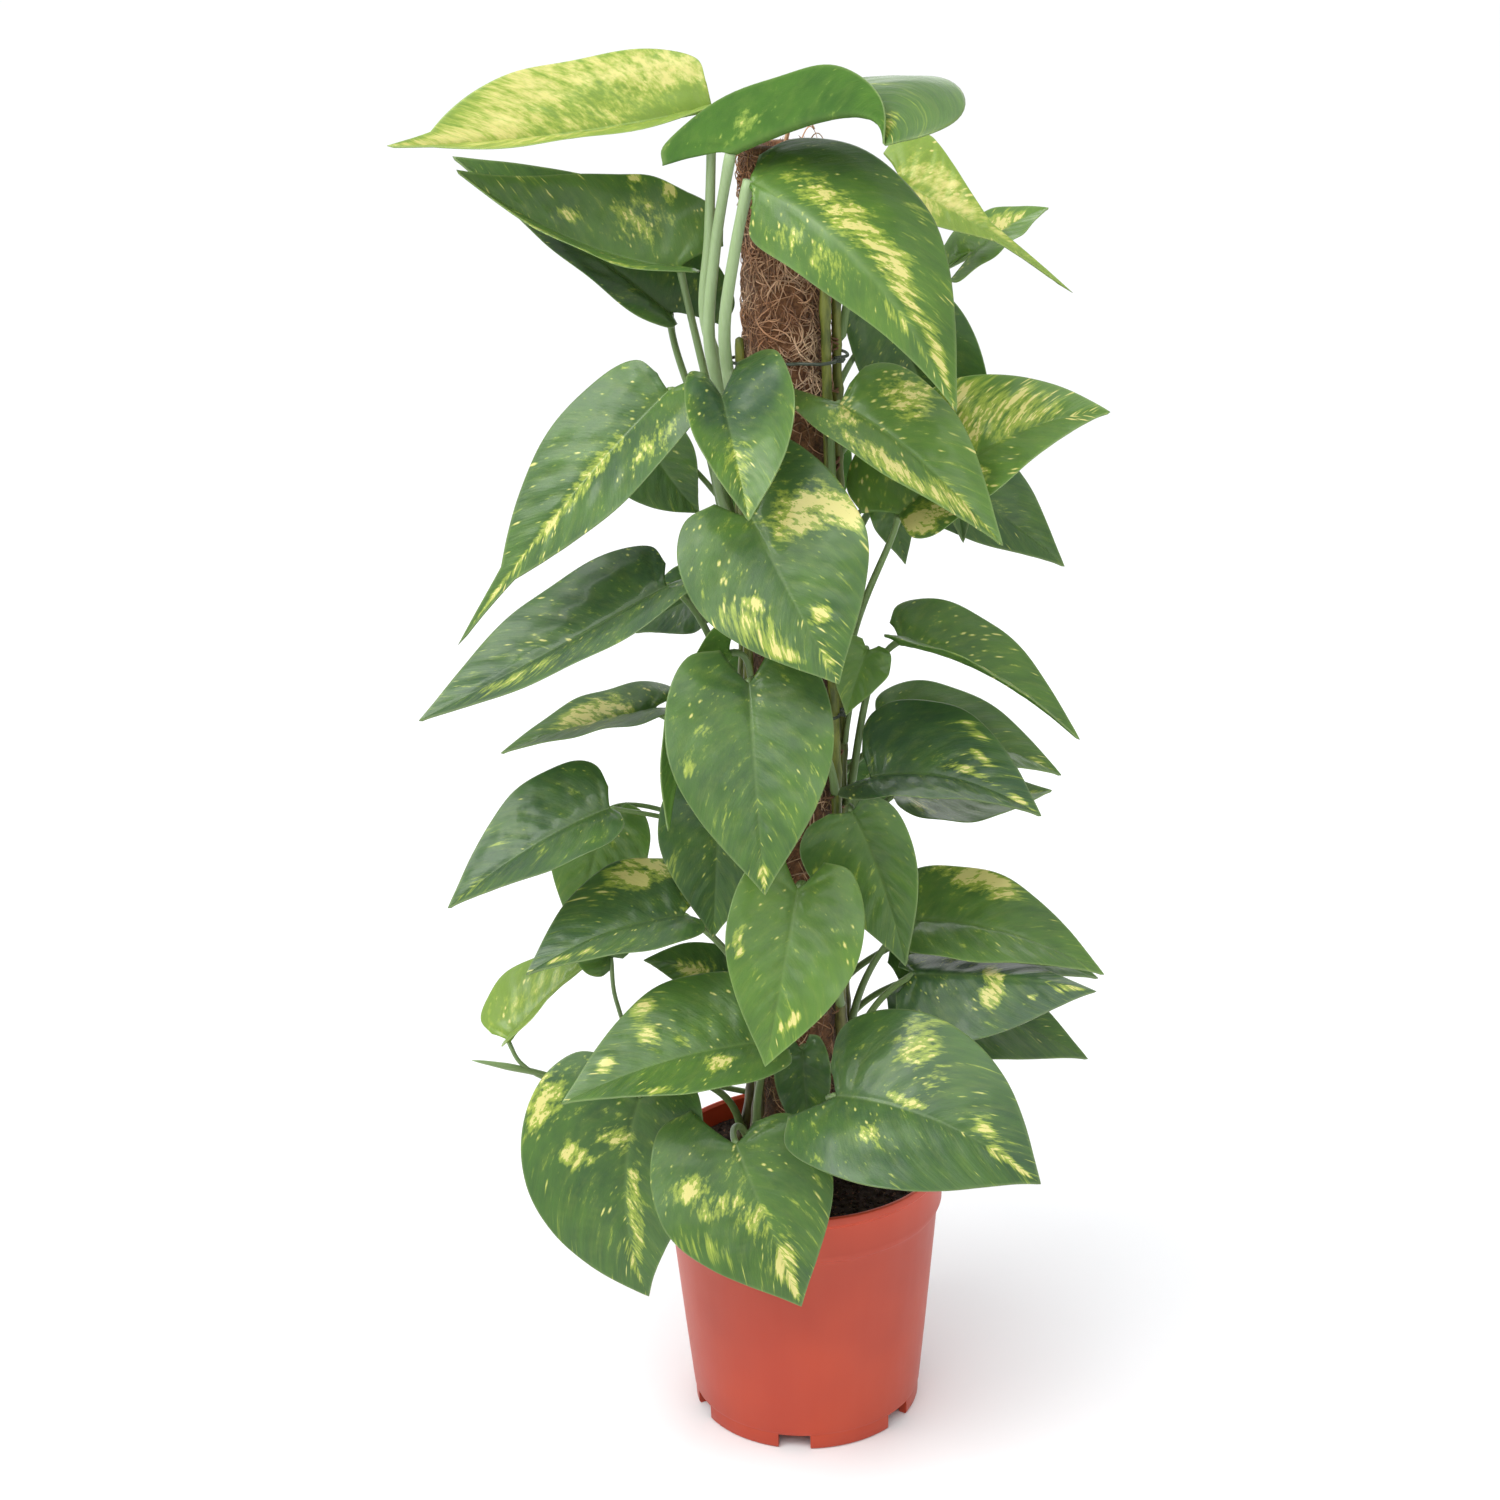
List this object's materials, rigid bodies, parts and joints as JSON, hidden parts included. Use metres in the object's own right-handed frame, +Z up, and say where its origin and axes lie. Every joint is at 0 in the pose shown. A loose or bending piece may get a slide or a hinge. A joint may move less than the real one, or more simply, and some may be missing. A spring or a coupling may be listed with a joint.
{
  "type": "potted climbing plant",
  "caption": "Golden pothos in a terracotta-coloured nursery pot, climbing a coir pole with variegated heart-shaped leaves on all sides.",
  "frame": {"origin": "centre of the pot's underside, on the surface that the pot stands on", "axes": "+Z up along the pot and pole; the plant's front, with the fullest leaves, looks along -Y; +X is to the right as seen from the front"},
  "size_m": [0.3371, 0.263, 0.7072],
  "materials": {
    "pot_plastic": "satin",
    "potting_soil": "moist peat and bark crumbs, matt",
    "stake_wood": "matt",
    "coir_fibre": "rough fibre",
    "coated_wire": "satin",
    "stem": "smooth, slightly glossy",
    "leaf": "soft gloss, green with cream and yellow flecks"
  },
  "bodies": {
    "root": {"pot": "pot_plastic", "soil": "potting_soil", "pole_stake": "stake_wood", "pole_coir": "coir_fibre", "vine_front_left": "stem", "vine_left": "stem", "vine_back_left": "stem", "vine_back": "stem", "vine_right": "stem", "vine_front_right": "stem", "tie_1": "coated_wire", "tie_2": "coated_wire", "leaf_front_left_1": "leaf", "leaf_front_left_2": "leaf", "leaf_front_left_3": "leaf", "leaf_front_left_4": "leaf", "leaf_front_left_5": "leaf", "leaf_front_left_6": "leaf", "leaf_front_left_7": "leaf", "leaf_front_left_8": "leaf", "leaf_left_1": "leaf", "leaf_left_2": "leaf", "leaf_left_3": "leaf", "leaf_left_4": "leaf", "leaf_left_5": "leaf", "leaf_left_6": "leaf", "leaf_left_7": "leaf", "leaf_back_left_1": "leaf", "leaf_back_left_2": "leaf", "leaf_back_left_3": "leaf", "leaf_back_left_4": "leaf", "leaf_back_left_5": "leaf", "leaf_back_left_6": "leaf", "leaf_back_left_7": "leaf", "leaf_back_left_8": "leaf", "leaf_back_1": "leaf", "leaf_back_2": "leaf", "leaf_back_3": "leaf", "leaf_back_4": "leaf", "leaf_back_5": "leaf", "leaf_back_6": "leaf", "leaf_back_7": "leaf", "leaf_back_8": "leaf", "leaf_right_1": "leaf", "leaf_right_2": "leaf", "leaf_right_3": "leaf", "leaf_right_4": "leaf", "leaf_right_5": "leaf", "leaf_right_6": "leaf", "leaf_right_7": "leaf", "leaf_right_8": "leaf", "leaf_right_9": "leaf", "leaf_front_right_1": "leaf", "leaf_front_right_2": "leaf", "leaf_front_right_3": "leaf", "leaf_front_right_4": "leaf", "leaf_front_right_5": "leaf", "leaf_front_right_6": "leaf", "leaf_front_right_7": "leaf", "leaf_front_right_8": "leaf"}
  },
  "joints": []
}
